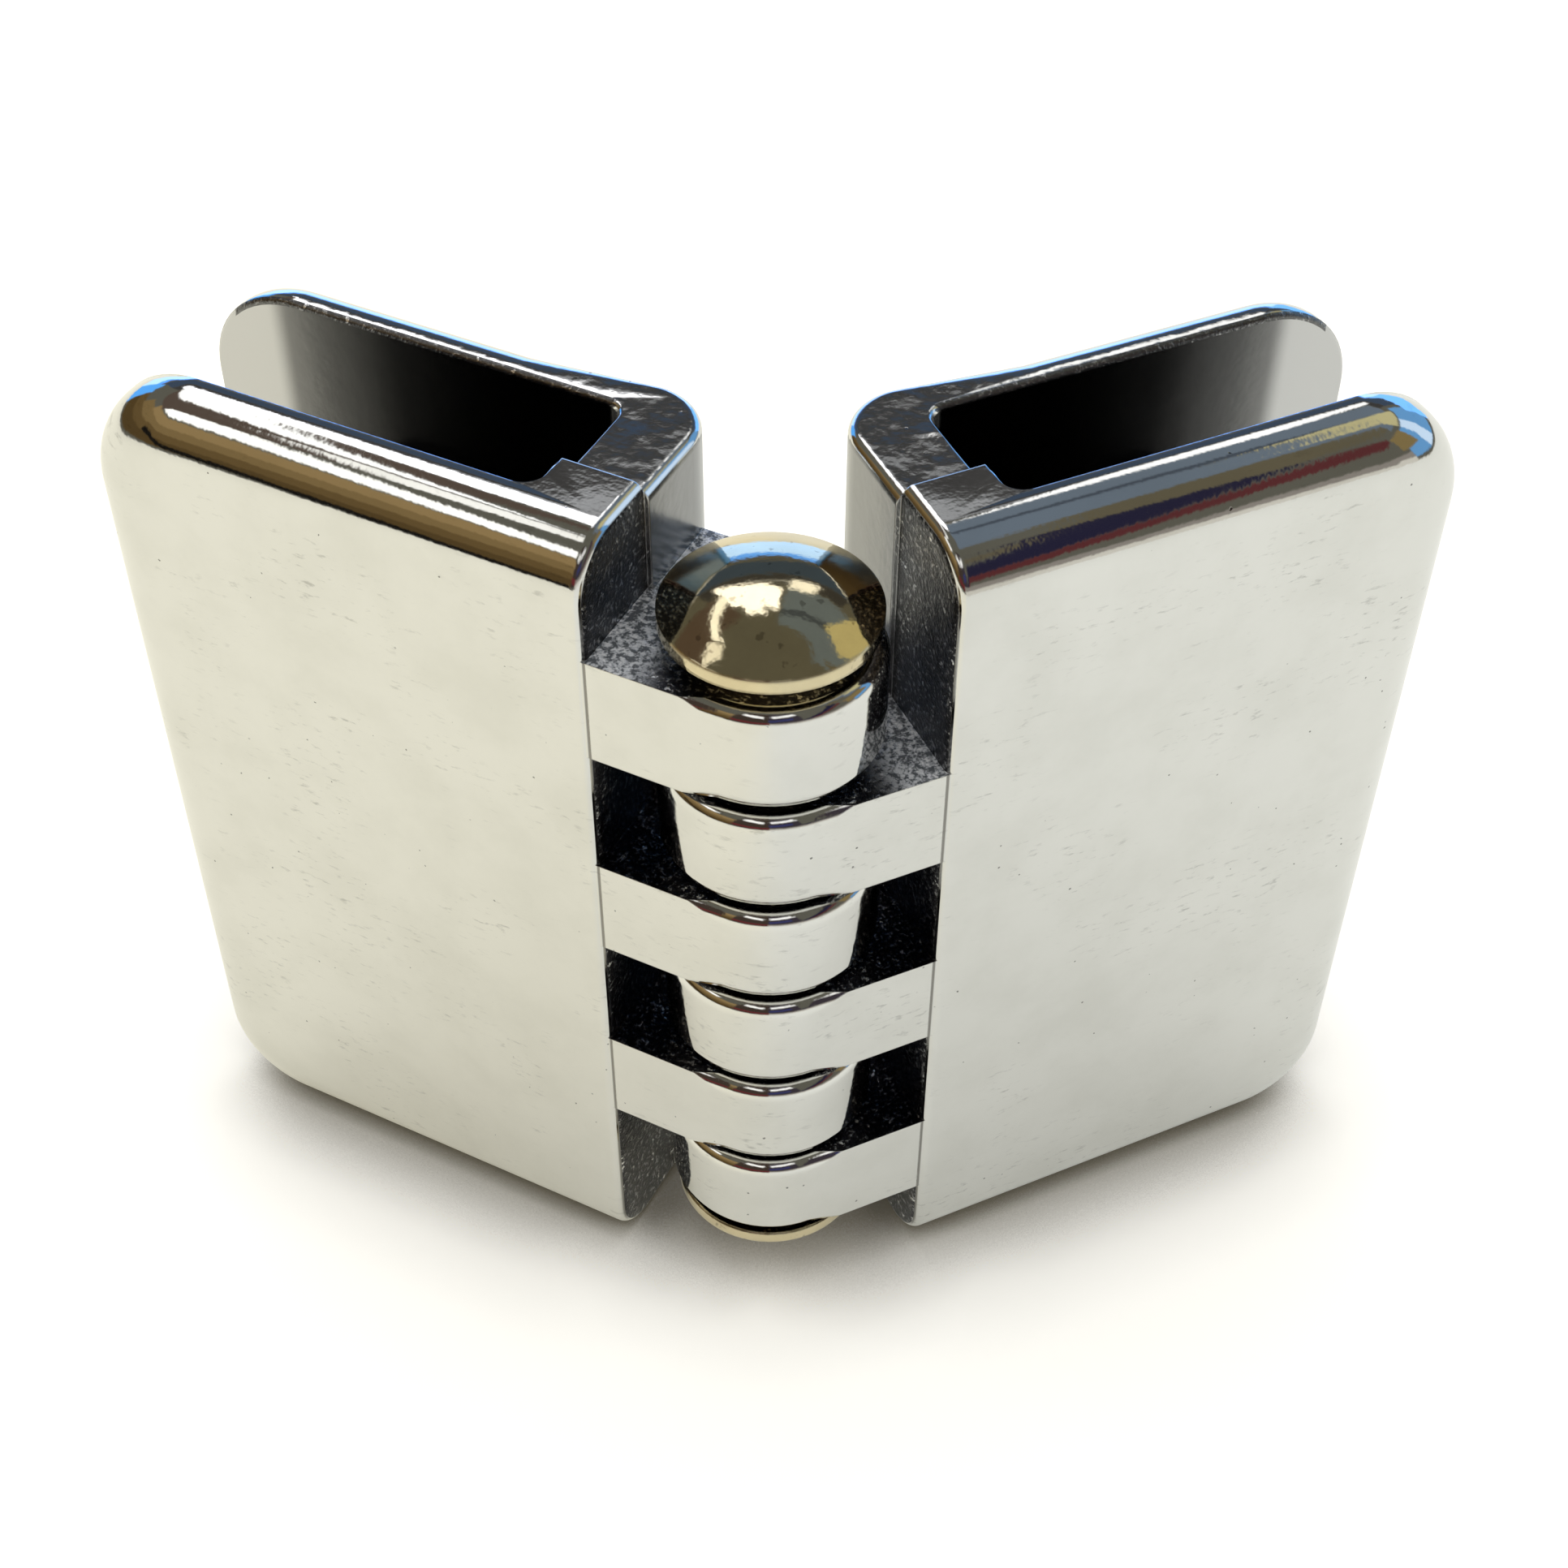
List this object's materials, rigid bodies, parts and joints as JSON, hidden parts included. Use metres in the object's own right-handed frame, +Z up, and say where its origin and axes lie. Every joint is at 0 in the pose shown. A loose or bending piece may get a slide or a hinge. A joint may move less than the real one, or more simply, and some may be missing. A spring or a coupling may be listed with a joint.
{
  "type": "acrylic corner hinge",
  "caption": "Chrome corner hinge for acrylic panels: two slotted clamp leaves with rounded faces on interleaved knuckles and a domed pin.",
  "frame": {"origin": "middle of the footprint's bounding box, on the plane of the leaves' lower ends", "axes": "+Z up along the hinge pin, +X to the right across both leaves, +Y back, the way both leaves sweep from the pin"},
  "size_m": [0.0574, 0.0238, 0.045],
  "materials": {
    "chrome_plating": "bright mirror chrome on die-cast zinc",
    "pin_plating": "polished steel with a warm golden tint",
    "screw_steel": "darkened set screw steel",
    "pad_polymer": "matt black nylon"
  },
  "bodies": {
    "left_leaf": {"left_clamp_body": "chrome_plating", "hinge_pin": "pin_plating", "pin_end_cap": "pin_plating"},
    "right_leaf": {"right_clamp_body": "chrome_plating"},
    "left_lower_pad_body": {"left_lower_clamp_pad": "pad_polymer"},
    "left_lower_screw_body": {"left_lower_clamp_screw": "screw_steel"},
    "left_upper_pad_body": {"left_upper_clamp_pad": "pad_polymer"},
    "left_upper_screw_body": {"left_upper_clamp_screw": "screw_steel"},
    "right_lower_pad_body": {"right_lower_clamp_pad": "pad_polymer"},
    "right_lower_screw_body": {"right_lower_clamp_screw": "screw_steel"},
    "right_upper_pad_body": {"right_upper_clamp_pad": "pad_polymer"},
    "right_upper_screw_body": {"right_upper_clamp_screw": "screw_steel"}
  },
  "joints": [
    {"name": "right_leaf_swing", "type": "hinge", "parent": "left_leaf", "child": "right_leaf", "pos_m": [0, -0.00711, 0.0225], "axis": [0, 0, 1], "range_deg": [-141, 39]},
    {"name": "left_lower_pad_travel", "type": "slide", "parent": "left_leaf", "child": "left_lower_pad_body", "axis": [-0.4305, -0.9026, 0], "range_m": [-0.0006, 0.0016]},
    {"name": "left_lower_screw_turn", "type": "hinge", "parent": "left_lower_pad_body", "child": "left_lower_screw_body", "pos_m": [-0.016, 0.00604, 0.011], "axis": [-0.4305, -0.9026, 0], "range_deg": [-309, 823]},
    {"name": "left_upper_pad_travel", "type": "slide", "parent": "left_leaf", "child": "left_upper_pad_body", "axis": [-0.4305, -0.9026, 0], "range_m": [-0.0006, 0.0016]},
    {"name": "left_upper_screw_turn", "type": "hinge", "parent": "left_upper_pad_body", "child": "left_upper_screw_body", "pos_m": [-0.016, 0.00604, 0.034], "axis": [-0.4305, -0.9026, 0], "range_deg": [-309, 823]},
    {"name": "right_lower_pad_travel", "type": "slide", "parent": "right_leaf", "child": "right_lower_pad_body", "axis": [0.4305, -0.9026, 0], "range_m": [-0.0006, 0.0016]},
    {"name": "right_lower_screw_turn", "type": "hinge", "parent": "right_lower_pad_body", "child": "right_lower_screw_body", "pos_m": [0.016, 0.00604, 0.011], "axis": [0.4305, -0.9026, 0], "range_deg": [-309, 823]},
    {"name": "right_upper_pad_travel", "type": "slide", "parent": "right_leaf", "child": "right_upper_pad_body", "axis": [0.4305, -0.9026, 0], "range_m": [-0.0006, 0.0016]},
    {"name": "right_upper_screw_turn", "type": "hinge", "parent": "right_upper_pad_body", "child": "right_upper_screw_body", "pos_m": [0.016, 0.00604, 0.034], "axis": [0.4305, -0.9026, 0], "range_deg": [-309, 823]}
  ],
  "couplings": [
    {"joint": "left_lower_screw_turn", "follows": "left_lower_pad_travel", "rad_per_m": 8976},
    {"joint": "left_upper_screw_turn", "follows": "left_upper_pad_travel", "rad_per_m": 8976},
    {"joint": "right_lower_screw_turn", "follows": "right_lower_pad_travel", "rad_per_m": 8976},
    {"joint": "right_upper_screw_turn", "follows": "right_upper_pad_travel", "rad_per_m": 8976}
  ]
}
